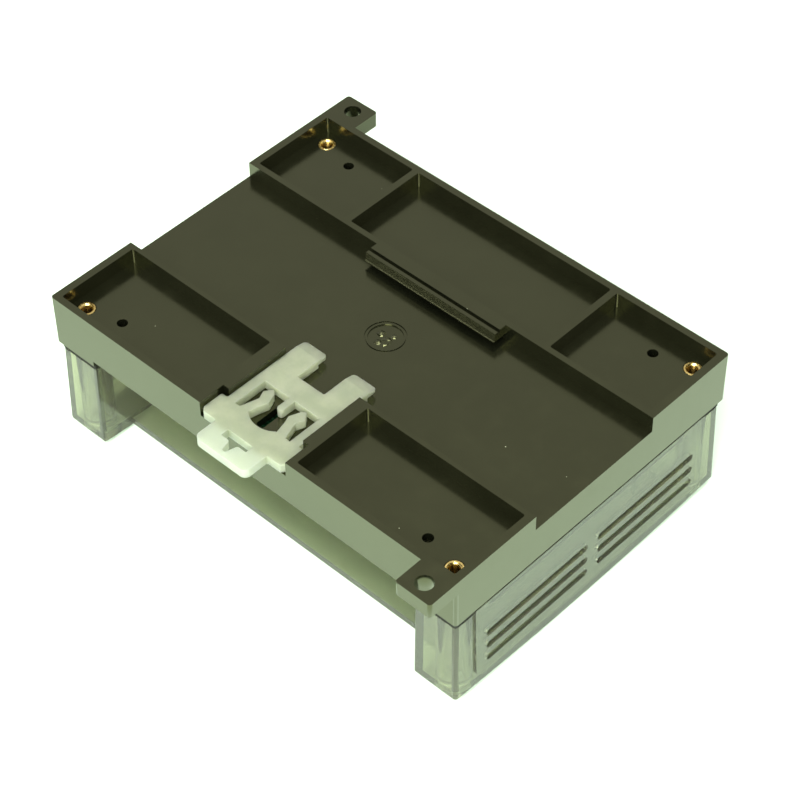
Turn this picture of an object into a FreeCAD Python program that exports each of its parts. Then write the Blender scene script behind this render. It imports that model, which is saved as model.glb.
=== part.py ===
import FreeCAD, Part
import os

# Controller module for a 35 mm rail, lying on its front cover with the rail side up.
# Frame, in millimetres: X runs along the rail, Y across it, Z up from the surface it
# lies on. The clip's pull tab points to -Y. The origin is the middle of the case.

os.makedirs("parts", exist_ok=True)

# ---- overall sizes -------------------------------------------------------------
case_length = 125.0
case_width = 90.0
total_height = 42.0
half_length = case_length / 2
half_width = case_width / 2
rim_z = total_height
overrun = 1.0                   # how far a cutting shape runs past the face that it cuts

# ---- black base ----------------------------------------------------------------
base_wall = 2.0
pocket_wall = 1.8
pocket_round = 0.5
recess_depth = 4.2
floor_z = rim_z - recess_depth
web_thickness = 2.0
web_under_z = floor_z - web_thickness
web_middle_z = floor_z - web_thickness / 2
skirt_z = 28.0
sill_z = 29.5
sill_inset = 0.6
corner_round = 0.8
inside_corner_round = 1.0
channel_near_y = -20.2
channel_far_y = 18.3
channel_far_wall = 1.5
channel_near_wall = 1.2
near_pocket_start_x = 15.0
guide_half_width = 11.45
guide_step_y = -37.8
shoulder_guide_half_width = 13.2
divider_near_x = 29.9
divider_far_x = 31.7
ear_width = 9.8
ear_reach = 7.9
ear_thickness = 4.0
ear_hole_radius = 2.1
ear_hole_inset_x = 5.0
ear_hole_y = 49.1

# ---- fixed rail hook on the base -------------------------------------------------
hook_half_length = 20.0
hook_front_y = 14.2
hook_under_z = floor_z + 1.5
hook_nose = 0.2
hook_top_z = rim_z - 0.3
hook_top_y = hook_front_y + 0.5
hook_groove_y = 15.6
hook_groove_z = rim_z - 1.0
hook_block_y = 16.3
hook_root_y = channel_far_y + 0.4

# ---- moulding gate mark on the channel floor -------------------------------------------
gate_ring_at = (-0.3, 0.4)
gate_ring_outer = 4.95
gate_ring_inner = 4.6
gate_ring_depth = 0.25
gate_dish_at = (-0.2, 0.3)
gate_dish_radius = 4.2
gate_dish_depth = 0.3

# ---- corner inserts and board bosses ---------------------------------------------
insert_x = 57.0
insert_y = 39.4
insert_radius = 2.25
insert_bore_radius = 1.35
insert_length = 6.0
insert_bands = ((0.0, 0.23), (0.33, 0.63), (0.73, 1.0))
band_height = 0.25
mouth_bevel = 0.4
insert_boss_radius = 3.6
boss_foot_z = skirt_z + 0.6
board_screw_x = 47.4
board_screw_y = 37.1
board_hole_radius = 1.3
board_boss_radius = 3.0
board_screw_head_radius = 2.5
board_screw_head_height = 1.7
board_screw_clearance = 0.08
board_screw_tip_z = floor_z - 4.2

# ---- smoked clear cover ------------------------------------------------------------
cover_top_z = 26.9
post_top_z = 25.7
cover_front_half_length = 62.4
cover_back_half_length = 61.7
cover_front_half_width = 44.6
cover_back_half_width = 44.1
front_crown = 1.6
cover_wall = 1.8
front_thickness = 1.8
cover_edge_round = 1.0
panel_raise = 0.5
panel_half_width = 38.4
panel_bottom_z = 4.2
panel_corner_radius = 3.0
bay_half_length = 50.3
bay_depth_y = 35.3
partition_reach_y = 27.0
post_tube_radius = 3.2
post_tube_bore = 1.7
screw_head_radius = 2.8
screw_head_depth = 3.4
vent_inner_y = 1.7
vent_outer_y = 35.0
vent_height = 2.0
vent_first_z = 8.6
vent_pitch = 4.0
vent_rows = 3
vent_reach_x = half_length - 4.0
lip_outer_x = 60.1
lip_thickness = 1.2
lip_half_width = 33.0
lip_top_z = 30.4
lip_root_z = cover_top_z - 3.0

# ---- nylon clip ----------------------------------------------------------------------
clip_gap = 0.3
clip_bottom_z = floor_z + clip_gap
clip_top_z = rim_z - 1.5
clip_half_width = 11.0
shoulder_half_width = 12.7
tab_half_width = 7.9
fork_half_gap = 4.15
fork_tip_y = -14.3
fork_root_y = -23.9
shoulder_top_y = -38.8
shoulder_bottom_y = -44.3
shoulder_bevel = 0.9
tab_top_y = -45.3
tab_end_y = -51.9
tip_bevel_y = -17.2
tip_edge_z = clip_top_z - 0.9
fork_corner_round = 1.0
tab_corner_round = 1.6
clip_edge_round = 0.45
window_top_y = -29.7
window_bottom_y = -38.9
window_half_width = 8.5
spring_opening_half_width = 4.4
spring_opening_side_y = -38.7
spring_opening_low_y = -40.5
arm_corner_round = 0.4
tongue_half_width = 0.85
tongue_tip_y = -33.1
slit_half_width = 3.8
slit_top_y = -45.5
slit_arm_low_y = -47.6
slit_stem_half_width = 1.3
slit_tip_half_width = 0.4
slit_low_y = -50.5
slit_inner_round = 0.7
rail_flange_clear = 1.3
rail_edge_y = -17.3
slot_x = -1.5
slot_half_width = 1.1
slot_near_y = -38.6
slot_far_y = -25.0
slot_end_round = 0.6
stem_half_width = 0.8
stem_near_y = -29.8
stem_far_y = -25.6
foot_half_width = 3.6
foot_thickness = 1.4
foot_gap = 0.3

# ---- circuit board -----------------------------------------------------------------
board_thickness = 1.6
board_top_z = 31.2
board_bottom_z = board_top_z - board_thickness
board_half_length = 58.0
board_half_width = 41.6
board_corner_x = 52.6
board_corner_y = 34.9
board_screw_hole_radius = 1.6

# ---- pieces on the board: X, Y of each middle, and shared sizes -------------------------
controller_at = (0, -4)
memory_at = (-2, 12)
bus_driver_at = (16, 12)
crystal_at = (16, -2)
regulator_at = (-37, 12)
inductor_at = (-37, -6)
header_at = (0, -19)
cell_at = (-19, -9)
first_capacitor_at = (-22, 6)
first_relay_at = (30, -12)
first_coupler_at = (-40, -29)
first_led_at = (-8, 20)
chip_standoff = 0.1
lead_length = 1.2
lead_width = 0.3
lead_depth = 0.2
capacitor_radius = 5.0
capacitor_height = 11.5
relay_width = 9.6
relay_length = 19.0
relay_height = 14.3
cell_radius = 6.2


# ---- small helpers -------------------------------------------------------------------
def vector(x, y, z):
    return FreeCAD.Vector(x, y, z)


def box(low_x, low_y, low_z, high_x, high_y, high_z):
    return Part.makeBox(high_x - low_x, high_y - low_y, high_z - low_z, vector(low_x, low_y, low_z))


def centred_box(x, y, size_x, size_y, low_z, high_z):
    return box(x - size_x / 2, y - size_y / 2, low_z, x + size_x / 2, y + size_y / 2, high_z)


def upright(x, y, radius, low_z, high_z):
    return Part.makeCylinder(radius, high_z - low_z, vector(x, y, low_z))


def along_x(x, y, z, radius, length):
    return Part.makeCylinder(radius, length, vector(x, y, z), vector(1, 0, 0))


def wire_of(points):
    corners = [vector(*point) for point in points]
    return Part.makePolygon(corners + [corners[0]])


def plate(outline, low_z, high_z):
    points = [(x, y, low_z) for x, y in outline]
    return Part.Face(wire_of(points)).extrude(vector(0, 0, high_z - low_z))


def side_profile(outline_yz, low_x, high_x):
    points = [(low_x, y, z) for y, z in outline_yz]
    return Part.Face(wire_of(points)).extrude(vector(high_x - low_x, 0, 0))


def end_profile(outline_xz, low_y, high_y):
    points = [(x, low_y, z) for x, z in outline_xz]
    return Part.Face(wire_of(points)).extrude(vector(0, high_y - low_y, 0))


def mirrored_x(shape):
    return shape.mirror(vector(0, 0, 0), vector(1, 0, 0))


def mirrored_y(shape):
    return shape.mirror(vector(0, 0, 0), vector(0, 1, 0))


def joined(shapes):
    return shapes[0].multiFuse(shapes[1:]).removeSplitter()


def corners_of(x, y):
    return [(-x, -y), (x, -y), (-x, y), (x, y)]


def round_upright_edges(shape, radius, keep=None):
    edges = []
    for edge in shape.Edges:
        start = edge.Vertexes[0].Point
        end = edge.Vertexes[-1].Point
        is_upright = abs(start.x - end.x) < 0.001 and abs(start.y - end.y) < 0.001
        if is_upright and abs(start.z - end.z) > 0.001 and (keep is None or keep(start)):
            edges.append(edge)
    return shape.makeFillet(radius, edges)


def save(shape, name):
    if not shape.isValid():
        raise ValueError(name + " is not a valid solid")
    shape.exportStep("parts/" + name + ".step")
    print(name, "solids", len(shape.Solids), "volume", round(shape.Volume, 1))


# ---- base housing ------------------------------------------------------------------
def base_ear(side):
    # side is 1 for the far left ear and -1 for the near right one
    outer_x = -side * half_length
    inner_x = -side * (half_length - ear_width)
    low_x, high_x = min(outer_x, inner_x), max(outer_x, inner_x)
    root_y = side * (half_width - base_wall)
    tip_y = side * (half_width + ear_reach)
    low_y, high_y = min(root_y, tip_y), max(root_y, tip_y)
    ear = box(low_x, low_y, rim_z - ear_thickness, high_x, high_y, rim_z)
    return round_upright_edges(ear, corner_round, lambda point: abs(point.y) > half_width + 1)


def ear_hole(side):
    x = -side * (half_length - ear_hole_inset_x)
    y = side * ear_hole_y
    return upright(x, y, ear_hole_radius, rim_z - ear_thickness - overrun, rim_z + overrun)


def base_block():
    block = box(-half_length, -half_width, skirt_z, half_length, half_width, rim_z)
    block = round_upright_edges(block, corner_round)
    return joined([block, base_ear(1), base_ear(-1)])


def pocket(low_x, low_y, high_x, high_y):
    hollow = box(low_x, low_y, floor_z, high_x, high_y, rim_z + overrun)
    return round_upright_edges(hollow, pocket_round)


def rail_side_hollows():
    inner_x = half_length - base_wall
    inner_y = half_width - pocket_wall
    near_top_y = channel_near_y - channel_near_wall
    far_bottom_y = channel_far_y + channel_far_wall
    top_z = rim_z + overrun
    channel_end_x = half_length + overrun
    channel = box(-channel_end_x, channel_near_y, floor_z, channel_end_x, channel_far_y, top_z)
    guide = box(-guide_half_width, guide_step_y - overrun, floor_z, guide_half_width,
                channel_near_y + overrun, top_z)
    shoulder_guide = box(-shoulder_guide_half_width, -half_width - overrun, floor_z,
                         shoulder_guide_half_width, guide_step_y, top_z)
    near_left = pocket(-inner_x, -inner_y, -near_pocket_start_x, near_top_y)
    far_left = pocket(-inner_x, far_bottom_y, -divider_far_x, inner_y)
    far_middle = pocket(-divider_near_x, far_bottom_y, divider_near_x, inner_y)
    return [channel, guide, shoulder_guide, near_left, mirrored_x(near_left), far_left,
            mirrored_x(far_left), far_middle]


def underside_hollow():
    inner_x = half_length - base_wall
    inner_y = half_width - base_wall
    inside = box(-inner_x, -inner_y, skirt_z - overrun, inner_x, inner_y, web_under_z)
    return round_upright_edges(inside, inside_corner_round)


def terminal_sill():
    # the skirt is cut a little shorter above each open terminal bay
    sill_x = bay_half_length - sill_inset
    sill_y = half_width + overrun
    return box(-sill_x, -sill_y, skirt_z - overrun, sill_x, sill_y, sill_z)


def rail_hook():
    # a block on the channel's wall with a steep tooth that hangs over the far flange of the rail
    outline = [(hook_front_y, hook_under_z),
               (hook_root_y, hook_under_z),
               (hook_root_y, rim_z),
               (hook_block_y, rim_z),
               (hook_block_y, hook_groove_z),
               (hook_groove_y, hook_groove_z),
               (hook_groove_y, hook_top_z),
               (hook_top_y, hook_top_z),
               (hook_front_y + hook_nose, hook_under_z + 2 * hook_nose),
               (hook_front_y, hook_under_z + hook_nose)]
    return side_profile(outline, -hook_half_length, hook_half_length)


def gate_mark():
    # a fine ring round the gate and a shallow dish a little off its middle
    ring = upright(*gate_ring_at, gate_ring_outer, floor_z - gate_ring_depth, floor_z + overrun)
    ring = ring.cut(upright(*gate_ring_at, gate_ring_inner, floor_z - overrun, floor_z + 2 * overrun))
    dish = upright(*gate_dish_at, gate_dish_radius, floor_z - gate_dish_depth, floor_z + overrun)
    return [ring, dish]


def base_bosses():
    bosses = []
    for x, y in corners_of(insert_x, insert_y):
        bosses.append(upright(x, y, insert_boss_radius, boss_foot_z, web_middle_z))
    for x, y in corners_of(board_screw_x, board_screw_y):
        bosses.append(upright(x, y, board_boss_radius, board_top_z, web_middle_z))
    return bosses


def base_holes():
    holes = []
    for x, y in corners_of(insert_x, insert_y):
        holes.append(upright(x, y, insert_radius, floor_z - insert_length, floor_z + overrun))
        holes.append(upright(x, y, post_tube_bore, skirt_z, floor_z))
    for x, y in corners_of(board_screw_x, board_screw_y):
        holes.append(upright(x, y, board_hole_radius, board_top_z - overrun, floor_z + overrun))
    return holes


def clip_slot():
    slot = box(slot_x - slot_half_width, slot_near_y, web_under_z - overrun, slot_x + slot_half_width,
               slot_far_y, floor_z + overrun)
    return round_upright_edges(slot, slot_end_round)


def make_base():
    base = base_block()
    base = base.cut(underside_hollow())
    base = base.cut(terminal_sill())
    for hollow in rail_side_hollows():
        base = base.cut(hollow)
    base = joined([base] + base_bosses())
    base = joined([base, rail_hook()])
    for cut in gate_mark() + base_holes():
        base = base.cut(cut)
    base = base.cut(clip_slot())
    base = base.cut(ear_hole(1))
    base = base.cut(ear_hole(-1))
    return base.removeSplitter()


# ---- clear cover -------------------------------------------------------------------
def crowned_profile(front_half_width, back_half_width, front_z, top_z, low_x, high_x):
    # closed outline in YZ: the front edge is an arc that bulges down by the crown
    edge_z = front_z + front_crown
    arc = Part.Arc(vector(low_x, -front_half_width, edge_z),
                   vector(low_x, 0, front_z),
                   vector(low_x, front_half_width, edge_z)).toShape()
    right = Part.makeLine(vector(low_x, front_half_width, edge_z), vector(low_x, back_half_width, top_z))
    top = Part.makeLine(vector(low_x, back_half_width, top_z), vector(low_x, -back_half_width, top_z))
    left = Part.makeLine(vector(low_x, -back_half_width, top_z), vector(low_x, -front_half_width, edge_z))
    return Part.Face(Part.Wire([arc, right, top, left])).extrude(vector(high_x - low_x, 0, 0))


def tapered_ends(front_half_length, back_half_length, low_z, top_z):
    outline = [(-front_half_length, low_z), (front_half_length, low_z),
               (back_half_length, top_z), (-back_half_length, top_z)]
    return end_profile(outline, -half_width - overrun, half_width + overrun)


def cover_skin():
    body = crowned_profile(cover_front_half_width, cover_back_half_width, 0, cover_top_z,
                           -half_length - overrun, half_length + overrun)
    body = body.common(tapered_ends(cover_front_half_length, cover_back_half_length, 0, cover_top_z))
    edges = [edge for edge in body.Edges if edge.CenterOfMass.z < cover_top_z - cover_edge_round]
    return body.makeFillet(cover_edge_round, edges)


def lowered_corners(skin):
    # the corner posts stop lower than the end panels between them
    low_x = bay_half_length - overrun
    high_x = half_length + overrun
    high_y = half_width + overrun
    for side_x, side_y in corners_of(1, 1):
        xs = sorted((side_x * low_x, side_x * high_x))
        ys = sorted((side_y * panel_half_width, side_y * high_y))
        skin = skin.cut(box(xs[0], ys[0], post_top_z, xs[1], ys[1], cover_top_z + overrun))
    return skin


def end_panel():
    # the vented panel stands slightly proud of each end wall
    blank = tapered_ends(cover_front_half_length + panel_raise, cover_back_half_length + panel_raise,
                         0, cover_top_z)
    middle_x = cover_back_half_length - cover_wall
    middle_y = half_width + 2 * overrun
    blank = blank.cut(box(-middle_x, -middle_y, -overrun, middle_x, middle_y, rim_z))
    window_x = half_length + 2 * overrun
    window = box(-window_x, -panel_half_width, panel_bottom_z, window_x, panel_half_width, cover_top_z)
    lower_edges = [edge for edge in window.Edges
                   if edge.CenterOfMass.z < panel_bottom_z + 0.1 and abs(edge.CenterOfMass.x) < 0.1]
    window = window.makeFillet(panel_corner_radius, lower_edges)
    return blank.common(window)


def cover_inside():
    inside = crowned_profile(cover_front_half_width - cover_wall, cover_back_half_width - cover_wall,
                             front_thickness, cover_top_z + overrun, -half_length, half_length)
    ends = tapered_ends(cover_front_half_length - cover_wall, cover_back_half_length - cover_wall,
                        0, cover_top_z + overrun)
    return inside.common(ends)


def terminal_bay():
    # open bay for the terminals, between the corner posts of the -Y side
    return box(-bay_half_length, -half_width - overrun, -overrun, bay_half_length, -bay_depth_y,
               cover_top_z + overrun)


def partition_wall():
    # wall that closes the inner side of one corner post
    outer_y = -cover_back_half_width + cover_wall / 2
    return box(bay_half_length, outer_y, front_thickness / 2, bay_half_length + cover_wall,
               -partition_reach_y, cover_top_z)


def post_tube(x, y):
    # its upper end meets the base's insert boss, which carries the cover
    return upright(x, y, post_tube_radius, front_thickness / 2, boss_foot_z)


def vent_slot(end, side, z):
    # end is 1 or -1 for the +X or -X wall, side is 1 or -1 for the half that the slot is in
    radius = vent_height / 2
    low_x, high_x = sorted((end * vent_reach_x, end * (half_length + 2 * overrun)))
    low_y, high_y = sorted((side * vent_inner_y, side * vent_outer_y))
    middles = (low_y + radius, high_y - radius)
    slot = box(low_x, middles[0], z - radius, high_x, middles[1], z + radius)
    ends = [along_x(low_x, y, z, radius, high_x - low_x) for y in middles]
    return joined([slot] + ends)


def cover_lip():
    # tongue that locates the cover inside the base
    inner_x = lip_outer_x - lip_thickness
    tongue = box(inner_x, -lip_half_width, lip_root_z, lip_outer_x, lip_half_width, lip_top_z)
    root = box(inner_x, -lip_half_width, lip_root_z, cover_back_half_length - cover_wall / 2,
               lip_half_width, cover_top_z)
    return joined([tongue, root])


def cover_holes():
    holes = []
    for x, y in corners_of(insert_x, insert_y):
        holes.append(upright(x, y, post_tube_bore, -overrun, rim_z))
        holes.append(upright(x, y, screw_head_radius, -overrun, screw_head_depth))
    for row in range(vent_rows):
        z = vent_first_z + row * vent_pitch
        holes += [vent_slot(end, side, z) for end in (-1, 1) for side in (-1, 1)]
    return holes


def make_cover():
    skin = lowered_corners(cover_skin())
    cover = joined([skin, end_panel()]).cut(cover_inside())
    wall = partition_wall().common(skin)
    walls = [wall, mirrored_x(wall), mirrored_y(wall), mirrored_y(mirrored_x(wall))]
    tubes = [post_tube(x, y) for x, y in corners_of(insert_x, insert_y)]
    lip = cover_lip()
    cover = joined([cover] + walls + tubes + [lip, mirrored_x(lip)])
    bay = terminal_bay()
    for cut in [bay, mirrored_y(bay)] + cover_holes():
        cover = cover.cut(cut)
    return cover.removeSplitter()


# ---- rail clip -----------------------------------------------------------------------
def clip_outline():
    right = [(fork_half_gap, fork_root_y),
             (fork_half_gap, fork_tip_y),
             (clip_half_width, fork_tip_y),
             (clip_half_width, shoulder_top_y),
             (shoulder_half_width, shoulder_top_y),
             (shoulder_half_width, shoulder_bottom_y),
             (shoulder_half_width - shoulder_bevel, tab_top_y),
             (tab_half_width, tab_top_y),
             (tab_half_width, tab_end_y)]
    left = [(-x, y) for x, y in reversed(right)]
    return right + left


def clip_blank():
    blank = plate(clip_outline(), clip_bottom_z, clip_top_z)
    blank = round_upright_edges(blank, tab_corner_round, lambda point: point.y < tab_end_y + 0.1)
    blank = round_upright_edges(blank, fork_corner_round, lambda point: point.y > fork_tip_y - 0.1)
    middle = (fork_tip_y - 2 * fork_corner_round, tab_end_y + 2 * tab_corner_round)
    return round_upright_edges(blank, clip_edge_round, lambda point: middle[1] < point.y < middle[0])


def clip_window():
    # wide opening for the spring arms, with a rounded belly below it
    low_z = clip_bottom_z - overrun
    high_z = clip_top_z + overrun
    opening = box(-window_half_width, window_bottom_y, low_z, window_half_width, window_top_y, high_z)
    left = vector(-spring_opening_half_width, spring_opening_side_y, low_z)
    right = vector(spring_opening_half_width, spring_opening_side_y, low_z)
    belly = Part.Wire([Part.Arc(left, vector(0, spring_opening_low_y, low_z), right).toShape(),
                       Part.makeLine(right, left)])
    return joined([opening, Part.Face(belly).extrude(vector(0, 0, high_z - low_z))])


def clip_spring_arm():
    # leaning arm with an angular head, standing free between the tongue and the window's side
    outline = [(3.7, -35.8), (3.0, -33.8), (4.1, -31.1), (5.1, -30.2), (6.5, -32.2), (5.6, -34.3),
               (7.0, window_bottom_y + 0.2), (8.0, window_bottom_y - overrun),
               (spring_opening_half_width + 0.2, window_bottom_y - overrun),
               (spring_opening_half_width, spring_opening_side_y)]
    arm = plate(outline, clip_bottom_z, clip_top_z)
    return round_upright_edges(arm, arm_corner_round, lambda point: point.y > spring_opening_side_y + 1)


def clip_tongue():
    bar = box(-tongue_half_width, tongue_tip_y, clip_bottom_z, tongue_half_width, window_top_y + overrun,
              clip_top_z)
    return joined([bar, upright(0, tongue_tip_y, tongue_half_width, clip_bottom_z, clip_top_z)])


def three_sided_slit():
    # screwdriver slit in the pull tab: two side arms and a stem, with hollow inner corners
    low_z = clip_bottom_z - overrun
    high_z = clip_top_z + overrun
    arms = box(-slit_half_width, slit_arm_low_y, low_z, slit_half_width, slit_top_y, high_z)
    stem = plate([(-slit_stem_half_width, slit_arm_low_y), (-slit_tip_half_width, slit_low_y),
                  (slit_tip_half_width, slit_low_y), (slit_stem_half_width, slit_arm_low_y)], low_z, high_z)
    slit = joined([arms, stem])
    inner = lambda point: abs(point.x) < slit_stem_half_width + 0.1 and point.y > slit_low_y + 0.1
    return round_upright_edges(slit, slit_inner_round, inner)


def tip_shaping():
    # slopes the top of the fork and opens its underside for the rail's flange
    wide = clip_half_width + overrun
    past_y = fork_tip_y + overrun
    above_z = clip_top_z + overrun
    slope = side_profile([(tip_bevel_y, clip_top_z), (past_y, tip_edge_z), (past_y, above_z),
                          (tip_bevel_y, above_z)], -wide, wide)
    under = box(-wide, rail_edge_y, clip_bottom_z - overrun, wide, past_y, floor_z + rail_flange_clear)
    return [slope, under]


def clip_foot():
    # a T through the slot in the base keeps the clip down and stops it at both ends
    foot_top_z = web_under_z - foot_gap
    foot_low_z = foot_top_z - foot_thickness
    stem = box(slot_x - stem_half_width, stem_near_y, foot_low_z, slot_x + stem_half_width, stem_far_y,
               clip_bottom_z + overrun)
    foot = box(slot_x - foot_half_width, stem_near_y, foot_low_z, slot_x + foot_half_width, stem_far_y,
               foot_top_z)
    return joined([stem, foot])


def make_clip():
    body = clip_blank().cut(clip_window())
    arm = clip_spring_arm()
    body = joined([body, arm, mirrored_x(arm), clip_tongue()])
    for cut in [three_sided_slit()] + tip_shaping():
        body = body.cut(cut)
    return joined([body, clip_foot()])


# ---- fixings -------------------------------------------------------------------------
def threaded_insert(x, y):
    # brass sleeve with three raised bands that grip the plastic and a bevelled mouth
    top = floor_z
    low = top - insert_length
    sleeve = upright(x, y, insert_radius - band_height, low, top)
    bands = [upright(x, y, insert_radius, low + start * insert_length, low + end * insert_length)
             for start, end in insert_bands]
    body = joined([sleeve] + bands)
    body = body.cut(upright(x, y, insert_bore_radius, low - overrun, top + overrun))
    mouth = Part.makeCone(insert_bore_radius, insert_bore_radius + mouth_bevel, mouth_bevel,
                          vector(x, y, top - mouth_bevel))
    return body.cut(mouth)


def make_inserts():
    return Part.makeCompound([threaded_insert(x, y) for x, y in corners_of(insert_x, insert_y)])


def board_screw(x, y):
    # pan head under the board, with a cross recess
    head_low = board_bottom_z - board_screw_head_height
    shank = upright(x, y, board_hole_radius - board_screw_clearance, board_bottom_z - 0.5, board_screw_tip_z)
    head = upright(x, y, board_screw_head_radius, head_low, board_bottom_z)
    screw = joined([shank, head])
    for angle in (0, 90):
        arm = centred_box(x, y, 3.0, 0.7, head_low - overrun, head_low + 0.9)
        arm.rotate(vector(x, y, 0), vector(0, 0, 1), angle)
        screw = screw.cut(arm)
    return screw


def make_board_screws():
    return Part.makeCompound([board_screw(x, y) for x, y in corners_of(board_screw_x, board_screw_y)])


# ---- circuit board and what it carries -------------------------------------------------
def make_board():
    board = box(-board_half_length, -board_half_width, board_bottom_z, board_half_length, board_half_width,
                board_top_z)
    low_z = board_bottom_z - overrun
    high_z = board_top_z + overrun
    for side_x, side_y in corners_of(1, 1):
        low_x, high_x = sorted((side_x * board_corner_x, side_x * (board_half_length + overrun)))
        low_y, high_y = sorted((side_y * board_corner_y, side_y * (board_half_width + overrun)))
        board = board.cut(box(low_x, low_y, low_z, high_x, high_y, high_z))
    for x, y in corners_of(board_screw_x, board_screw_y):
        board = board.cut(upright(x, y, board_screw_hole_radius, low_z, high_z))
    return board


def hanging_box(at, size_x, size_y, start, depth):
    # block under the board: it starts this far below the board and is this deep
    x, y = at
    return centred_box(x, y, size_x, size_y, board_bottom_z - start - depth, board_bottom_z - start)


def leaded_chip(at, body_x, body_y, height, leads, pitch, all_sides=False):
    # moulded chip under the board with flat leads on two or four sides
    x, y = at
    low_z = board_bottom_z - chip_standoff - height
    body = hanging_box(at, body_x, body_y, chip_standoff, height)
    body = body.makeChamfer(0.15, [edge for edge in body.Edges if edge.CenterOfMass.z < low_z + 0.01])
    body = body.cut(upright(x - body_x / 2 + 1.1, y + body_y / 2 - 1.1, 0.4, low_z - overrun, low_z + 0.1))
    solids = [body]
    first = -(leads - 1) * pitch / 2
    reach_x = (body_x + lead_length) / 2
    reach_y = (body_y + lead_length) / 2
    for number in range(leads):
        step = first + number * pitch
        for side in (-1, 1):
            along_y = (x + step, y + side * reach_y)
            solids.append(hanging_box(along_y, lead_width, lead_length, 0, lead_depth))
            if all_sides:
                along_side = (x + side * reach_x, y + step)
                solids.append(hanging_box(along_side, lead_length, lead_width, 0, lead_depth))
    return joined(solids)


def crystal_can(at):
    can = round_upright_edges(hanging_box(at, 11.0, 4.6, 0.4, 3.0), 2.0)
    flange = round_upright_edges(hanging_box(at, 11.8, 5.2, 0, 0.4), 2.3)
    return joined([can, flange])


def voltage_regulator(at):
    x, y = at
    body = hanging_box(at, 10.0, 8.6, 0, 4.4)
    tab = hanging_box((x, y + 5.6), 10.0, 3.0, 0, 1.3)
    legs = [hanging_box((x + step, y - 6.0), 0.9, 3.6, 0, 0.6) for step in (-2.5, 0, 2.5)]
    return joined([body, tab] + legs)


def power_inductor(at):
    body = round_upright_edges(hanging_box(at, 12.0, 12.0, 0, 6.0), 2.0)
    x, y = at
    return body.cut(upright(x, y, 3.8, board_bottom_z - 7.0, board_bottom_z - 5.6))


def bulk_capacitor(at):
    # crimped can on a square foot
    x, y = at
    end_z = board_bottom_z - capacitor_height
    can = upright(x, y, capacitor_radius, end_z, board_bottom_z - 0.6)
    crimp = upright(x, y, capacitor_radius + overrun, board_bottom_z - 2.6, board_bottom_z - 2.0)
    crimp = crimp.cut(upright(x, y, capacitor_radius - 0.3, board_bottom_z - 3.0, board_bottom_z - 1.6))
    can = can.cut(crimp)
    can = can.makeFillet(0.6, [edge for edge in can.Edges if edge.CenterOfMass.z < end_z + 0.1])
    return joined([can, hanging_box(at, 10.3, 10.3, 0, 0.8)])


def output_relay(at):
    x, y = at
    body = hanging_box(at, relay_width, relay_length, 0.3, relay_height)
    body = body.makeFillet(0.6, [edge for edge in body.Edges if edge.CenterOfMass.z < board_bottom_z - 1.0])
    feet = [hanging_box((x + dx, y + dy), 1.0, 1.0, 0, 0.5) for dx in (-3.4, 3.4) for dy in (-7.6, 7.6)]
    return joined([body] + feet)


def input_coupler(at):
    return leaded_chip(at, 4.6, 6.5, 3.4, 2, 2.54)


def status_led(at):
    x, y = at
    base = hanging_box(at, 3.2, 2.8, 0, 0.9)
    dome = Part.makeSphere(1.1, vector(x, y, board_bottom_z - 0.9))
    dome = dome.common(hanging_box(at, 4.0, 4.0, 0.5, 2.5))
    return joined([base, dome])


def programming_header(at):
    # ten-way shrouded plug with a key slot in one long side
    x, y = at
    shell = hanging_box(at, 15.0, 8.0, 0, 9.0)
    shell = shell.cut(hanging_box(at, 13.2, 6.2, 2.2, 9.0))
    shell = shell.cut(hanging_box((x, y - 4.0), 4.2, 3.0, 2.2, 9.0))
    pins = [hanging_box((x + (column - 2) * 2.54, y + row), 0.64, 0.64, 2.0, 6.0)
            for column in range(5) for row in (-1.27, 1.27)]
    return joined([shell] + pins)


def coin_cell(at):
    x, y = at
    return upright(x, y, cell_radius, board_bottom_z - 3.6, board_bottom_z - 1.4)


def cell_holder(at):
    x, y = at
    holder = hanging_box(at, 15.6, 14.6, 0, 4.4)
    holder = holder.cut(upright(x, y, cell_radius + 0.2, board_bottom_z - 5.0, board_bottom_z - 1.3))
    return holder.cut(hanging_box((x + 6.0, y), 8.0, 6.0, 1.3, 4.0))


# ---- build every piece -----------------------------------------------------------------
def save_row(make_piece, name, places):
    for number, at in enumerate(places, start=1):
        save(make_piece(at), name + "_" + str(number))


def grid(first, pitch_x, pitch_y, columns, rows):
    return [(first[0] + column * pitch_x, first[1] + row * pitch_y)
            for row in range(rows) for column in range(columns)]


save(make_base(), "base_housing")
save(make_cover(), "clear_cover")
save(make_clip(), "rail_clip")
save(make_inserts(), "threaded_inserts")
save(make_board_screws(), "board_screws")
save(make_board(), "circuit_board")
save(leaded_chip(controller_at, 14.0, 14.0, 1.4, 12, 1.0, all_sides=True), "controller_chip")
save(leaded_chip(memory_at, 5.2, 4.0, 1.5, 4, 1.27), "memory_chip")
save(leaded_chip(bus_driver_at, 10.0, 7.4, 2.3, 8, 1.27), "bus_driver_chip")
save(crystal_can(crystal_at), "crystal_can")
save(voltage_regulator(regulator_at), "voltage_regulator")
save(power_inductor(inductor_at), "power_inductor")
save(programming_header(header_at), "programming_header")
save(cell_holder(cell_at), "cell_holder")
save(coin_cell(cell_at), "backup_cell")
save_row(bulk_capacitor, "bulk_capacitor", grid(first_capacitor_at, 0, 12.5, 1, 2))
save_row(output_relay, "output_relay", grid(first_relay_at, 11.0, 22.0, 2, 2))
save_row(input_coupler, "input_coupler", grid(first_coupler_at, 8.0, 0, 4, 1))
save_row(status_led, "status_led", grid(first_led_at, 5.0, 0, 4, 1))
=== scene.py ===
import math

import bmesh
import bpy
from mathutils import Matrix, Vector, noise


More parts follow.
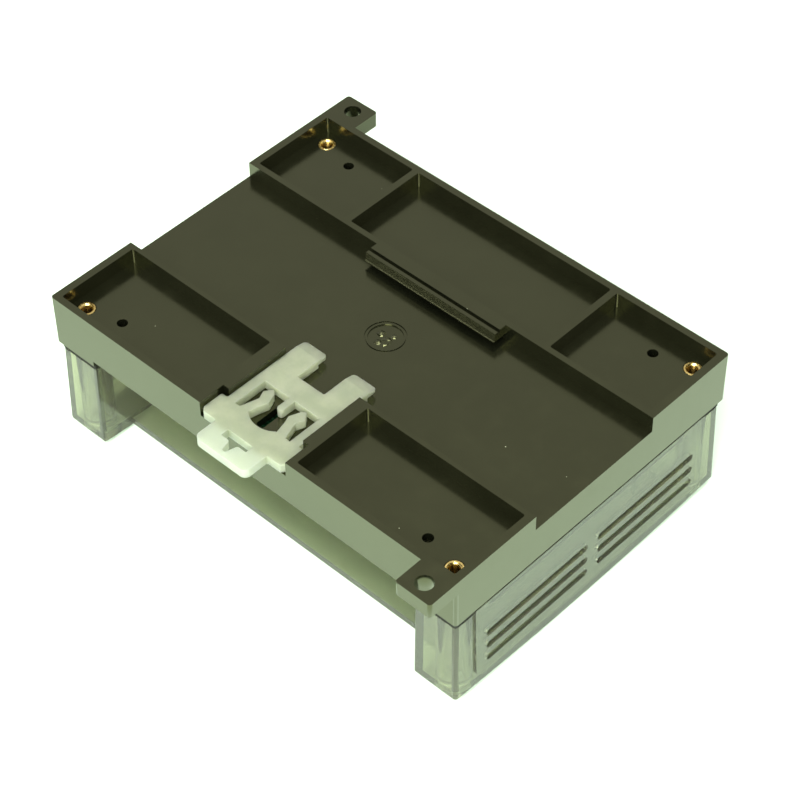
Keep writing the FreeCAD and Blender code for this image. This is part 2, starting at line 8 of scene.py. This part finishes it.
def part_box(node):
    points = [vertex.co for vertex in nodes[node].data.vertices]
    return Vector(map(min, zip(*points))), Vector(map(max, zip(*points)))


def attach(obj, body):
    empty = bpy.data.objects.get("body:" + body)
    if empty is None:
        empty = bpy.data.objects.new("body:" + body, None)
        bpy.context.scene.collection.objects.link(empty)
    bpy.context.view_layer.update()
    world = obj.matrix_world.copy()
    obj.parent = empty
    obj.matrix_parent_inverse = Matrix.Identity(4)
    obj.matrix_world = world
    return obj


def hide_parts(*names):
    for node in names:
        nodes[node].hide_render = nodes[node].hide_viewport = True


# Looks for the rail-mounted controller module. Metres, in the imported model's own frame:
# X along the rail, Y across it, Z up; the module lies on its clear cover.

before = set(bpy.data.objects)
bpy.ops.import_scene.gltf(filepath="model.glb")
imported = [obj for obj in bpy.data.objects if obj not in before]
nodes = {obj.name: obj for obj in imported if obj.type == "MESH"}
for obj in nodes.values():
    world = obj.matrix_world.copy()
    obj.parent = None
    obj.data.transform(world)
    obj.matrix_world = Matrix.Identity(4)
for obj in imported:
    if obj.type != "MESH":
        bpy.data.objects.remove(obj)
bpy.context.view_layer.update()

MM = 0.001

# ---- the photograph's view ---------------------------------------------------------------
CAMERA_PLACE = Vector((0.2760, -0.2842, 0.4293))
CAMERA_AZIMUTH = math.radians(44.31)
CAMERA_ELEVATION = math.radians(45.73)
CAMERA_ROLL = math.radians(1.149)
LENS_MM = 110.9
SENSOR_MM = 36.0
SHIFT_X = 0.0228
SHIFT_Y = -0.0198

# ---- places worked out from the frame ------------------------------------------------------
insert_low, insert_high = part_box("threaded_inserts")
board_low, board_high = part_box("circuit_board")
base_low, base_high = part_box("base_housing")
INSERT_RADIUS = 2.25 * MM
INSERT_X = insert_high.x - INSERT_RADIUS
INSERT_Y = insert_high.y - INSERT_RADIUS
CHANNEL_FLOOR_Z = insert_high.z
GATE_DISH_X = -0.2 * MM
GATE_DISH_Y = 0.3 * MM
GATE_DISH_DEPTH = 0.3 * MM
# The pull tab is painted paler between these two lines across the rail: painted light standing in for light
# from the ground coming up through the tab.
TAB_LIGHT_START_Y = -45.0 * MM
TAB_LIGHT_FULL_Y = -47.5 * MM


# ---- node helpers -----------------------------------------------------------------------------
class Paint:
    """A material's node tree, with one short call for each kind of node it uses."""

    def __init__(self, name):
        self.material = bpy.data.materials.new(name)
        self.material.use_nodes = True
        self.tree = self.material.node_tree
        self.tree.nodes.clear()
        self.output = self.tree.nodes.new("ShaderNodeOutputMaterial")
        coordinates = self.tree.nodes.new("ShaderNodeTexCoord")
        self.place = coordinates.outputs["Object"]

    def node(self, kind, **inputs):
        made = self.tree.nodes.new("ShaderNode" + kind)
        for name, value in inputs.items():
            self.feed(made.inputs[name.replace("_", " ")], value)
        return made

    def feed(self, socket, value):
        if isinstance(value, bpy.types.NodeSocket):
            self.tree.links.new(value, socket)
        else:
            socket.default_value = value

    def noise(self, scale, detail=3.0, roughness=0.5, place=None):
        made = self.node("TexNoise", Scale=scale, Detail=detail, Roughness=roughness)
        self.feed(made.inputs["Vector"], place or self.place)
        return made.outputs["Fac"]

    def ramp(self, value, start, end, low=0.0, high=1.0):
        """Goes smoothly from low to high as value goes from start to end."""
        made = self.node("MapRange")
        made.interpolation_type = "SMOOTHSTEP"
        self.feed(made.inputs["Value"], value)
        made.inputs["From Min"].default_value = start
        made.inputs["From Max"].default_value = end
        made.inputs["To Min"].default_value = low
        made.inputs["To Max"].default_value = high
        return made.outputs["Result"]

    def math(self, operation, first, second=0.0):
        made = self.node("Math")
        made.operation = operation
        self.feed(made.inputs[0], first)
        self.feed(made.inputs[1], second)
        return made.outputs[0]

    def mix(self, share, first, second):
        made = self.node("Mix")
        made.data_type = "RGBA"
        self.feed(made.inputs[0], share)
        self.feed(made.inputs[6], first)
        self.feed(made.inputs[7], second)
        return made.outputs[2]

    def bump(self, height, depth, strength=1.0, below=None):
        made = self.node("Bump", Strength=strength, Distance=depth, Height=height)
        if below is not None:
            self.feed(made.inputs["Normal"], below)
        return made.outputs["Normal"]

    def shader(self, **inputs):
        made = self.node("BsdfPrincipled", **inputs)
        self.tree.links.new(made.outputs[0], self.output.inputs["Surface"])
        return made


def colour(red, green, blue):
    return (red, green, blue, 1.0)


# ---- materials ------------------------------------------------------------------------------
def black_plastic():
    """Glossy moulded black with a faint orange peel, handling smudges and a few dust specks."""
    paint = Paint("black_plastic")
    cloud = paint.noise(45.0, 4.0)
    tone = paint.mix(paint.ramp(cloud, 0.35, 0.65), colour(0.0024, 0.0027, 0.0016),
                     colour(0.0038, 0.0041, 0.0024))
    specks = paint.node("TexVoronoi", Scale=260.0, Randomness=1.0)
    paint.feed(specks.inputs["Vector"], paint.place)
    near = paint.ramp(specks.outputs["Distance"], 0.045, 0.025)
    sparse = paint.ramp(paint.noise(95.0, 1.0), 0.60, 0.66)
    normal = paint.node("NewGeometry")
    split = paint.node("SeparateXYZ", Vector=normal.outputs["Normal"])
    facing_up = paint.ramp(split.outputs["Z"], 0.6, 0.9)
    dust = paint.math("MULTIPLY", paint.math("MULTIPLY", near, sparse), facing_up)
    tone = paint.mix(dust, tone, colour(0.24, 0.25, 0.19))
    smudge = paint.noise(160.0, 5.0, 0.6)
    rough = paint.math("ADD", paint.ramp(smudge, 0.4, 0.75, 0.17, 0.25), paint.math("MULTIPLY", dust, 0.5))
    peel = paint.bump(paint.noise(420.0, 2.0), 0.00002, 0.25)
    fine = paint.bump(paint.noise(5200.0, 2.0), 0.000006, 0.35, peel)
    shader = paint.shader(Base_Color=tone, Roughness=rough, Normal=fine, IOR=1.5)
    shader.inputs["Specular IOR Level"].default_value = 1.0
    shader.inputs["Specular Tint"].default_value = colour(1.0, 1.0, 0.56)
    return paint.material


def smoked_clear():
    """Clear plastic with a light grey-green smoke, a little flow waviness and fine scuffs."""
    paint = Paint("smoked_clear")
    scuff = paint.noise(900.0, 4.0, 0.7)
    rough = paint.ramp(scuff, 0.45, 0.8, 0.06, 0.22)
    wave = paint.bump(paint.noise(70.0, 2.0), 0.0004, 0.12)
    shader = paint.shader(Base_Color=colour(0.88, 0.88, 0.72), Roughness=rough, Normal=wave, IOR=1.49)
    shader.inputs["Transmission Weight"].default_value = 0.95
    smoke = paint.node("VolumeAbsorption", Color=colour(0.47, 0.50, 0.38), Density=400.0)
    paint.tree.links.new(smoke.outputs[0], paint.output.inputs["Volume"])
    return paint.material


def natural_nylon():
    """Milky nylon that lets some light through: soft clouding, a satin skin and a pull tab painted paler, as
    painted light coming up through it from the ground.
    """
    paint = Paint("natural_nylon")
    cloud = paint.noise(240.0, 4.0, 0.55)
    tone = paint.mix(paint.ramp(cloud, 0.35, 0.68), colour(0.50, 0.54, 0.41), colour(0.61, 0.64, 0.49))
    across = paint.node("SeparateXYZ", Vector=paint.place).outputs["Y"]
    # painted light: the tab's outer end is painted paler, as if lit from below through the nylon
    painted_tab_light = paint.ramp(across, TAB_LIGHT_START_Y, TAB_LIGHT_FULL_Y)
    tone = paint.mix(painted_tab_light, tone, colour(0.63, 0.67, 0.58))
    rough = paint.ramp(paint.noise(700.0, 3.0), 0.3, 0.7, 0.32, 0.46)
    skin = paint.bump(paint.noise(380.0, 3.0), 0.00005, 0.3)
    shader = paint.shader(Base_Color=tone, Roughness=rough, Normal=skin, IOR=1.53)
    shader.inputs["Subsurface Weight"].default_value = 1.0
    shader.inputs["Subsurface Radius"].default_value = (1.0, 1.0, 0.85)
    shader.inputs["Subsurface Scale"].default_value = 0.006
    shader.inputs["Transmission Weight"].default_value = 0.66
    return paint.material


def brass():
    """Turned brass with small stains, bright on its rim and painted dark down in the thread as painted
    shade.
    """
    paint = Paint("brass")
    stain = paint.noise(1500.0, 4.0)
    tone = paint.mix(paint.ramp(stain, 0.4, 0.75), colour(0.88, 0.66, 0.27), colour(0.66, 0.44, 0.15))
    height = paint.node("SeparateXYZ", Vector=paint.place).outputs["Z"]
    # painted shade: the brass is painted dark from just below the insert's top downwards, standing in for
    # shade down in the hole
    painted_hole_shade = paint.ramp(height, CHANNEL_FLOOR_Z - 0.1 * MM, CHANNEL_FLOOR_Z - 0.6 * MM)
    tone = paint.mix(painted_hole_shade, tone, colour(0.20, 0.13, 0.04))
    rough = paint.ramp(paint.noise(2600.0, 3.0), 0.3, 0.7, 0.18, 0.36)
    grain = paint.bump(paint.noise(9000.0, 2.0), 0.000008, 0.4)
    paint.shader(Base_Color=tone, Metallic=1.0, Roughness=rough, Normal=grain)
    return paint.material


def plated_metal(name, tone, dull):
    """Plated or drawn metal with a faint brushed grain."""
    paint = Paint(name)
    grain = paint.noise(3000.0, 3.0)
    worn = paint.mix(paint.ramp(paint.noise(350.0, 4.0), 0.45, 0.75), colour(*tone), colour(*dull))
    rough = paint.ramp(grain, 0.3, 0.7, 0.22, 0.42)
    paint.shader(Base_Color=worn, Metallic=1.0, Roughness=rough,
                 Normal=paint.bump(grain, 0.000006, 0.5))
    return paint.material


def moulded(name, light, dark, rough_low, rough_high, grain_scale=2600.0):
    """Moulded plastic or epoxy with a fine grain and slight colour drift."""
    paint = Paint(name)
    drift = paint.ramp(paint.noise(180.0, 4.0), 0.35, 0.7)
    tone = paint.mix(drift, colour(*light), colour(*dark))
    grain = paint.noise(grain_scale, 3.0)
    rough = paint.ramp(grain, 0.3, 0.7, rough_low, rough_high)
    paint.shader(Base_Color=tone, Roughness=rough, Normal=paint.bump(grain, 0.00001, 0.5), IOR=1.5)
    return paint.material


def board_green():
    """Solder mask over copper: the tracks show as paler, slightly raised bands."""
    paint = Paint("board_green")
    bricks = paint.node("TexBrick", Scale=300.0)
    bricks.offset = 0.37
    paint.feed(bricks.inputs["Vector"], paint.place)
    bricks.inputs["Mortar Size"].default_value = 0.09
    bricks.inputs["Brick Width"].default_value = 2.3
    bricks.inputs["Row Height"].default_value = 0.42
    patch = paint.ramp(paint.noise(55.0, 1.0), 0.48, 0.5)
    track = paint.math("MULTIPLY", bricks.outputs["Fac"], patch)
    tone = paint.mix(track, colour(0.012, 0.085, 0.035), colour(0.035, 0.19, 0.085))
    weave = paint.noise(2400.0, 2.0)
    relief = paint.bump(track, 0.00003, 0.8)
    paint.shader(Base_Color=tone, Roughness=paint.ramp(weave, 0.3, 0.7, 0.22, 0.34),
                 Normal=paint.bump(weave, 0.00001, 0.3, relief), IOR=1.5)
    return paint.material


def led_lens():
    """Tinted epoxy lens, slightly cloudy."""
    paint = Paint("led_lens")
    cloud = paint.ramp(paint.noise(900.0, 3.0), 0.3, 0.7)
    tone = paint.mix(cloud, colour(0.40, 0.85, 0.36), colour(0.55, 0.92, 0.48))
    shader = paint.shader(Base_Color=tone, Roughness=0.12, IOR=1.52)
    shader.inputs["Transmission Weight"].default_value = 0.7
    return paint.material


def floor_white():
    """Plain pale ground."""
    paint = Paint("floor_white")
    tone = paint.mix(paint.ramp(paint.noise(6.0, 2.0), 0.3, 0.7), colour(0.73, 0.86, 0.77),
                     colour(0.75, 0.88, 0.79))
    paint.shader(Base_Color=tone, Roughness=0.9, Specular_IOR_Level=0.2)
    return paint.material


# ---- dressing the CAD nodes -------------------------------------------------------------------
def wear(node_name, material, edge=0.0, segments=2):
    """Gives a CAD node its material and, where edge is set, moulded edges of that width in metres."""
    piece = nodes[node_name]
    piece.data.materials.clear()
    piece.data.materials.append(material)
    if edge > 0:
        weld = piece.modifiers.new("weld", "WELD")
        weld.merge_threshold = 0.000002
        flat = piece.modifiers.new("flat", "DECIMATE")
        flat.decimate_type = "DISSOLVE"
        flat.angle_limit = math.radians(0.6)
        bevel = piece.modifiers.new("edge", "BEVEL")
        bevel.width = edge
        bevel.segments = segments
        bevel.limit_method = "ANGLE"
        bevel.angle_limit = math.radians(28)
        bevel.harden_normals = False
        piece.modifiers.new("triangles", "TRIANGULATE")


def new_piece(name, mesh, material, body="module", smooth=True):
    """Links a finished mesh as a piece that rides on a body."""
    for polygon in mesh.polygons:
        polygon.use_smooth = smooth
    piece = bpy.data.objects.new(name, mesh)
    bpy.context.scene.collection.objects.link(piece)
    piece.data.materials.append(material)
    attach(piece, body)
    return piece


# ---- detailed pieces --------------------------------------------------------------------------
def thread_radius(angle, depth, length, mean, pitch, height):
    """Radius inside a threaded hole: a V groove that winds once per pitch and fades at the mouth."""
    turn = (depth / pitch - angle / (2 * math.pi)) % 1.0
    groove = abs(turn - 0.5) * 2 - 0.5
    fade = min(1.0, depth / (pitch * 1.2), (length - depth) / pitch)
    return mean + groove * height * max(0.0, fade)


def knurl_radius(angle, share, outer, relief, teeth):
    """Radius outside an insert: three knurled bands with plain necks between them."""
    in_band = share < 0.25 or 0.37 < share < 0.65 or share > 0.75
    if not in_band:
        return outer - relief * 1.3
    tooth = abs((angle * teeth / (2 * math.pi)) % 1.0 - 0.5) * 2
    return outer - relief * tooth


def threaded_insert_mesh(verts, faces, centre_x, centre_y):
    """Adds one knurled and threaded brass insert to the lists of corners and faces."""
    around = 72
    outer_steps = 36
    inner_steps = 72
    top, bottom = insert_high.z, insert_low.z
    length = top - bottom
    bore = 1.35 * MM
    bevel = 0.35 * MM
    pitch = 0.5 * MM
    thread_height = 0.16 * MM
    knurl_outer = INSERT_RADIUS - 0.02 * MM
    knurl_relief = 0.12 * MM
    knurl_teeth = 24
    outside = [(step / outer_steps, bottom + length * step / outer_steps) for step in range(outer_steps + 1)]
    inside = [length * step / inner_steps for step in range(inner_steps + 1)]
    start = len(verts)
    rings = 0
    for share, z in outside:
        for step in range(around):
            angle = 2 * math.pi * step / around
            radius = knurl_radius(angle, share, knurl_outer, knurl_relief, knurl_teeth)
            radius = min(radius, INSERT_RADIUS - 0.2 * MM * max(0.0, share - 0.97) / 0.03)
            verts.append((centre_x + radius * math.cos(angle), centre_y + radius * math.sin(angle), z))
        rings += 1
    for depth in inside:
        for step in range(around):
            angle = 2 * math.pi * step / around
            radius = thread_radius(angle, depth, length, bore, pitch, thread_height)
            radius += bevel * max(0.0, 1 - depth / bevel)
            verts.append((centre_x + radius * math.cos(angle), centre_y + radius * math.sin(angle),
                          top - depth))
        rings += 1
    for ring in range(rings):
        for step in range(around):
            low = start + ring * around
            high = start + ((ring + 1) % rings) * around
            after = (step + 1) % around
            faces.append((low + step, low + after, high + after, high + step))


def make_inserts(material):
    """Four knurled brass inserts in one piece, in place of the plain ones."""
    verts, faces = [], []
    for side_x in (-1, 1):
        for side_y in (-1, 1):
            threaded_insert_mesh(verts, faces, side_x * INSERT_X, side_y * INSERT_Y)
    mesh = bpy.data.meshes.new("knurled_inserts")
    mesh.from_pydata(verts, [], faces)
    piece = new_piece("knurled_inserts", mesh, material)
    piece.data.set_sharp_from_angle(angle=math.radians(35))
    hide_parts("threaded_inserts")
    return piece


def torn_lump(mesh, centre, reach, height, seed):
    """Adds a low lump of torn plastic: flat facets round an off-centre top."""
    around = 9
    rows = []
    for share, level in ((1.0, 0.0), (0.72, 0.55), (0.3, 0.9)):
        row = []
        for step in range(around):
            angle = 2 * math.pi * (step + 0.3 * share) / around
            wander = noise.noise(Vector((math.cos(angle) * 2, math.sin(angle) * 2, seed + share * 3)))
            radius = reach * share * (1 + 0.45 * wander)
            lift = height * level * (1 + 0.7 * noise.noise(Vector((seed + angle, share * 7, 1.7))))
            place = centre + Vector((radius * math.cos(angle), radius * math.sin(angle), max(0.0, lift)))
            row.append(mesh.verts.new(place))
        rows.append(row)
    top = mesh.verts.new(centre + Vector((0.12 * reach, 0.1 * reach, height)))
    for lower, upper in zip(rows, rows[1:]):
        for step in range(around):
            after = (step + 1) % around
            mesh.faces.new((lower[step], lower[after], upper[after], upper[step]))
    for step in range(around):
        mesh.faces.new((rows[-1][step], rows[-1][(step + 1) % around], top))
    mesh.faces.new(list(reversed(rows[0])))


def make_gate_stub(material):
    """The rough stub that breaks off at the moulding gate: torn lumps lying in its shallow dish."""
    dish = Vector((GATE_DISH_X, GATE_DISH_Y, CHANNEL_FLOOR_Z - GATE_DISH_DEPTH))
    # each lump: place in the dish, reach and height in millimetres, and a seed for its raggedness
    lumps = ((-1.6, 0.3, 1.1, 0.55, 2.0),
             (0.9, -0.9, 1.5, 0.45, 5.0),
             (-0.4, -2.2, 0.9, 0.35, 9.0),
             (1.2, 1.6, 0.8, 0.25, 13.0))
    torn = bmesh.new()
    for x, y, reach, height, seed in lumps:
        torn_lump(torn, dish + Vector((x * MM, y * MM, 0)), reach * MM, height * MM, seed)
    mesh = bpy.data.meshes.new("gate_stub")
    torn.to_mesh(mesh)
    torn.free()
    return new_piece("gate_stub", mesh, material, smooth=False)


def make_painted_gap_shade(material):
    """A thin matte-black strip in the gap between the base's skirt and each end of the cover: painted shade
    standing in for the dark shadow gap there.
    """
    section = 0.35 * MM
    shade_strip = bmesh.new()
    post_x, corner_x, panel_x = 50.6 * MM, 61.6 * MM, 62.05 * MM
    panel_y, step_y, post_y = 38.3 * MM, 38.6 * MM, 43.95 * MM
    post_low, panel_low, shade_top = 25.75 * MM, 26.95 * MM, 28.0 * MM
    half_path = [(post_x, post_y, post_low), (corner_x, post_y, post_low), (corner_x, step_y, post_low),
                 (corner_x, step_y, panel_low), (panel_x, panel_y, panel_low)]
    path = half_path + [(x, -y, low) for x, y, low in reversed(half_path)]
    for side in (-1, 1):
        rings = []
        for x, y, low in path:
            inward = Vector((-1 if x > post_x else 0, -1 if y > 0 else 1, 0)) * section
            if abs(y) < post_y:
                inward.y = 0
            outer = Vector((x, y, 0))
            corners = [outer + Vector((0, 0, low)), outer + Vector((0, 0, shade_top)),
                       outer + inward + Vector((0, 0, shade_top)), outer + inward + Vector((0, 0, low))]
            rings.append([shade_strip.verts.new((side * corner.x, corner.y, corner.z)) for corner in corners])
        for first, second in zip(rings, rings[1:]):
            for step in range(4):
                after = (step + 1) % 4
                shade_strip.faces.new((first[step], first[after], second[after], second[step]))
        shade_strip.faces.new(rings[0])
        shade_strip.faces.new(list(reversed(rings[-1])))
    bmesh.ops.recalc_face_normals(shade_strip, faces=shade_strip.faces)
    mesh = bpy.data.meshes.new("painted_gap_shade")
    shade_strip.to_mesh(mesh)
    shade_strip.free()
    return new_piece("painted_gap_shade", mesh, material, smooth=False)


def small_blocks(name, places, size, material):
    """One piece made of many small rounded blocks that hang under the circuit board."""
    blocks = bmesh.new()
    for x, y in places:
        middle = Vector((x, y, board_low.z - size[2] / 2))
        shape = Matrix.Translation(middle) @ Matrix.Diagonal((*size, 1.0))
        made = bmesh.ops.create_cube(blocks, size=1.0, matrix=shape)
        corners = set(made["verts"])
        edges = [edge for edge in blocks.edges if edge.verts[0] in corners]
        bmesh.ops.bevel(blocks, geom=edges, offset=0.08 * MM, segments=2, affect="EDGES")
    mesh = bpy.data.meshes.new(name)
    blocks.to_mesh(mesh)
    blocks.free()
    return new_piece(name, mesh, material)


def make_chip_resistors(body_material, cap_material):
    """Rows of chip resistors under the board's two long edges, seen through the open bays."""
    count = 19
    spacing = 4.2 * MM
    row_y = 37.0 * MM
    cap_offset = 0.85 * MM
    middles = []
    for side in (-1, 1):
        for step in range(count):
            middles.append(((step - count // 2) * spacing, side * row_y))
    caps = [(x + end * cap_offset, y) for x, y in middles for end in (-1, 1)]
    small_blocks("resistor_bodies", middles, (1.3 * MM, 1.2 * MM, 0.5 * MM), body_material)
    small_blocks("resistor_caps", caps, (0.4 * MM, 1.25 * MM, 0.55 * MM), cap_material)


# ---- stage ----------------------------------------------------------------------------------
def make_floor():
    """A wide flat ground at the height the module lies on."""
    half = 3.0
    mesh = bpy.data.meshes.new("floor")
    corners = [(-half, -half, 0), (half, -half, 0), (half, half, 0), (-half, half, 0)]
    mesh.from_pydata(corners, [], [(0, 1, 2, 3)])
    floor = bpy.data.objects.new("floor", mesh)
    bpy.context.scene.collection.objects.link(floor)
    floor.data.materials.append(floor_white())


def make_sky():
    """Even, slightly green-tinted studio surroundings."""
    world = bpy.data.worlds.new("studio")
    bpy.context.scene.world = world
    world.use_nodes = True
    background = world.node_tree.nodes["Background"]
    background.inputs["Color"].default_value = colour(0.98, 1.0, 0.90)
    background.inputs["Strength"].default_value = 0.66


def add_softbox(name, place, aim, size, power, tint):
    """A rectangular soft light that points from its place at its aim."""
    light = bpy.data.lights.new(name, "AREA")
    light.shape = "RECTANGLE"
    light.size, light.size_y = size
    light.energy = power
    light.color = tint
    box = bpy.data.objects.new(name, light)
    box.location = place
    box.rotation_euler = (Vector(aim) - Vector(place)).to_track_quat("-Z", "Y").to_euler()
    bpy.context.scene.collection.objects.link(box)


def make_camera():
    """The photograph's view: where the camera stands, its turn, its tilt and its small roll."""
    azimuth, elevation, roll = CAMERA_AZIMUTH, CAMERA_ELEVATION, CAMERA_ROLL
    back = Vector((math.sin(azimuth) * math.cos(elevation), -math.cos(azimuth) * math.cos(elevation),
                   math.sin(elevation)))
    right = Vector((math.cos(azimuth), math.sin(azimuth), 0))
    up = back.cross(right)
    side = right * math.cos(roll) - up * math.sin(roll)
    head = right * math.sin(roll) + up * math.cos(roll)
    data = bpy.data.cameras.new("camera")
    data.sensor_width = SENSOR_MM
    data.lens = LENS_MM
    data.shift_x = SHIFT_X
    data.shift_y = SHIFT_Y
    data.clip_start = 0.01
    camera = bpy.data.objects.new("camera", data)
    turn = Matrix((side, head, back)).transposed().to_4x4()
    camera.matrix_world = Matrix.Translation(CAMERA_PLACE) @ turn
    bpy.context.scene.collection.objects.link(camera)
    bpy.context.scene.camera = camera


# ---- assembly -------------------------------------------------------------------------------
make_camera()
make_floor()
make_sky()
add_softbox("front", (0.325, -0.697, 0.855), (0, 0, 0.03), (0.8, 0.8), 21.0, (0.95, 1.0, 0.86))
add_softbox("low", (0.42, -0.80, 0.36), (0, 0, 0.0), (0.5, 0.5), 10.0, (0.95, 1.0, 0.86))
add_softbox("edge", (-0.54, -0.82, 0.50), (0, 0, 0.03), (0.08, 0.08), 0.4, (0.95, 1.0, 0.92))
add_softbox("overhead", (0.0, 0.1, 1.2), (0, 0, 0.03), (0.6, 0.6), 6.5, (0.95, 1.0, 0.86))

plastic = black_plastic()
wear("base_housing", plastic, edge=0.12 * MM)
wear("clear_cover", smoked_clear(), edge=0.15 * MM)
wear("rail_clip", natural_nylon(), edge=0.25 * MM, segments=3)
make_inserts(brass())
make_gate_stub(plastic)

epoxy = moulded("chip_black", (0.022, 0.022, 0.024), (0.034, 0.034, 0.036), 0.5, 0.7)
dark_resin = moulded("connector_black", (0.02, 0.02, 0.021), (0.03, 0.03, 0.03), 0.35, 0.5)
# matte near-black so the strip reads as a dark shadow line from any side: painted shade
make_painted_gap_shade(moulded("painted_gap_shade_black", (0.006, 0.007, 0.005), (0.01, 0.011, 0.008), 0.8, 0.95))
steel = plated_metal("screw_steel", (0.62, 0.62, 0.60), (0.45, 0.44, 0.42))
cell_metal = plated_metal("cell_steel", (0.78, 0.78, 0.76), (0.62, 0.61, 0.58))
can_metal = plated_metal("can_metal", (0.80, 0.80, 0.78), (0.66, 0.66, 0.64))
foil_can = plated_metal("capacitor_can", (0.82, 0.82, 0.84), (0.70, 0.70, 0.72))
ferrite = moulded("ferrite", (0.07, 0.07, 0.075), (0.11, 0.11, 0.11), 0.6, 0.8, 1500.0)
relay_blue = moulded("relay_case", (0.02, 0.08, 0.30), (0.03, 0.11, 0.36), 0.2, 0.32)
white_body = moulded("coupler_white", (0.78, 0.78, 0.74), (0.70, 0.70, 0.66), 0.4, 0.55)

wear("circuit_board", board_green())
make_chip_resistors(epoxy, can_metal)
wear("board_screws", steel)
for name in ("controller_chip", "memory_chip", "bus_driver_chip", "voltage_regulator"):
    wear(name, epoxy)
wear("programming_header", dark_resin)
wear("cell_holder", dark_resin)
wear("backup_cell", cell_metal)
wear("crystal_can", can_metal)
wear("power_inductor", ferrite)
lens = led_lens()
for name in sorted(nodes):
    if name.startswith("bulk_capacitor"):
        wear(name, foil_can)
    if name.startswith("output_relay"):
        wear(name, relay_blue)
    if name.startswith("input_coupler"):
        wear(name, white_body)
    if name.startswith("status_led"):
        wear(name, lens)

bpy.context.scene.view_settings.view_transform = "Standard"
